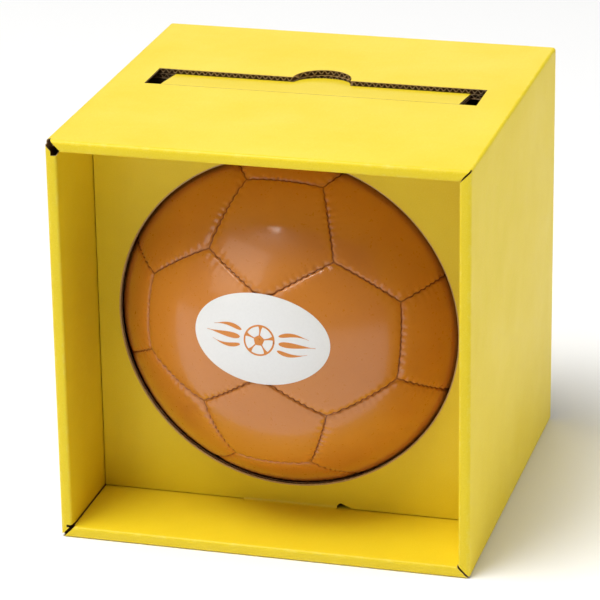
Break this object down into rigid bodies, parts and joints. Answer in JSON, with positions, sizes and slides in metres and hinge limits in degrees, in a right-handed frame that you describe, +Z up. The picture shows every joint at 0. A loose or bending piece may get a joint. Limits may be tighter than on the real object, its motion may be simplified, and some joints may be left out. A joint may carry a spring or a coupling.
{
  "type": "display box with stitched ball",
  "caption": "Folded corrugated-board display box with a recessed round window that holds a stitched inflatable ball, closed at the rear by a tuck-in panel.",
  "frame": {"origin": "centre of the box's footprint, on the surface that it stands on", "axes": "+Z up; the window looks along -Y; +X to the right of someone who faces the window"},
  "size_m": [0.236, 0.229, 0.236],
  "materials": {
    "printed_board": "matte",
    "kraft_board": "matte",
    "ball_panels": "gloss",
    "lining_cloth": "matte",
    "bladder_rubber": "matte",
    "valve_rubber": "matte",
    "label_paper": "satin"
  },
  "bodies": {
    "box": {"outer_top": "printed_board", "outer_bottom": "printed_board", "outer_left": "printed_board", "outer_right": "printed_board", "rim_top": "printed_board", "rim_bottom": "printed_board", "rim_left": "printed_board", "rim_right": "printed_board", "return_top": "printed_board", "return_bottom": "printed_board", "return_left": "printed_board", "return_right": "printed_board", "dust_flap_left": "kraft_board", "dust_flap_right": "kraft_board", "glue_flap": "kraft_board", "floor_pad": "kraft_board"},
    "window": {"window_panel": "printed_board"},
    "tongue": {"top_tongue": "printed_board"},
    "closure": {"rear_panel": "printed_board"},
    "closure_flap": {"tuck_flap": "kraft_board"},
    "ball": {"pentagon_panel_01": "ball_panels", "pentagon_panel_02": "ball_panels", "pentagon_panel_03": "ball_panels", "pentagon_panel_04": "ball_panels", "pentagon_panel_05": "ball_panels", "pentagon_panel_06": "ball_panels", "pentagon_panel_07": "ball_panels", "pentagon_panel_08": "ball_panels", "pentagon_panel_09": "ball_panels", "pentagon_panel_10": "ball_panels", "pentagon_panel_11": "ball_panels", "pentagon_panel_12": "ball_panels", "hexagon_panel_01": "ball_panels", "hexagon_panel_02": "ball_panels", "hexagon_panel_03": "ball_panels", "hexagon_panel_04": "ball_panels", "hexagon_panel_05": "ball_panels", "hexagon_panel_06": "ball_panels", "hexagon_panel_07": "ball_panels", "hexagon_panel_08": "ball_panels", "hexagon_panel_09": "ball_panels", "hexagon_panel_10": "ball_panels", "hexagon_panel_11": "ball_panels", "hexagon_panel_12": "ball_panels", "hexagon_panel_13": "ball_panels", "hexagon_panel_14": "ball_panels", "hexagon_panel_15": "ball_panels", "hexagon_panel_16": "ball_panels", "hexagon_panel_17": "ball_panels", "hexagon_panel_18": "ball_panels", "hexagon_panel_19": "ball_panels", "hexagon_panel_20": "ball_panels", "ball_lining": "lining_cloth", "ball_bladder": "bladder_rubber", "ball_valve": "valve_rubber", "ball_label": "label_paper"}
  },
  "joints": [
    {"name": "window_fold", "type": "hinge", "parent": "box", "child": "window", "pos_m": [0, -0.055, 0.0065], "axis": [1, 0, 0], "range_deg": [0, 86]},
    {"name": "tongue_press", "type": "hinge", "parent": "box", "child": "tongue", "pos_m": [0, -0.004, 0.233], "axis": [-1, 0, 0], "range_deg": [-5.8, 8]},
    {"name": "rear_fold", "type": "hinge", "parent": "box", "child": "closure", "pos_m": [0, 0.1145, 0], "axis": [-1, 0, 0], "range_deg": [0, 86]},
    {"name": "tuck_fold", "type": "hinge", "parent": "closure", "child": "closure_flap", "pos_m": [0, 0.1115, 0.2297], "axis": [1, 0, 0], "range_deg": [0, 86]},
    {"name": "ball_turn", "type": "hinge", "parent": "box", "child": "ball", "pos_m": [0, 0.0005, 0.1165], "axis": [0, 0, 1], "continuous": true}
  ],
  "couplings": [
    {"joint": "tuck_fold", "follows": "rear_fold", "ratio": 1}
  ]
}
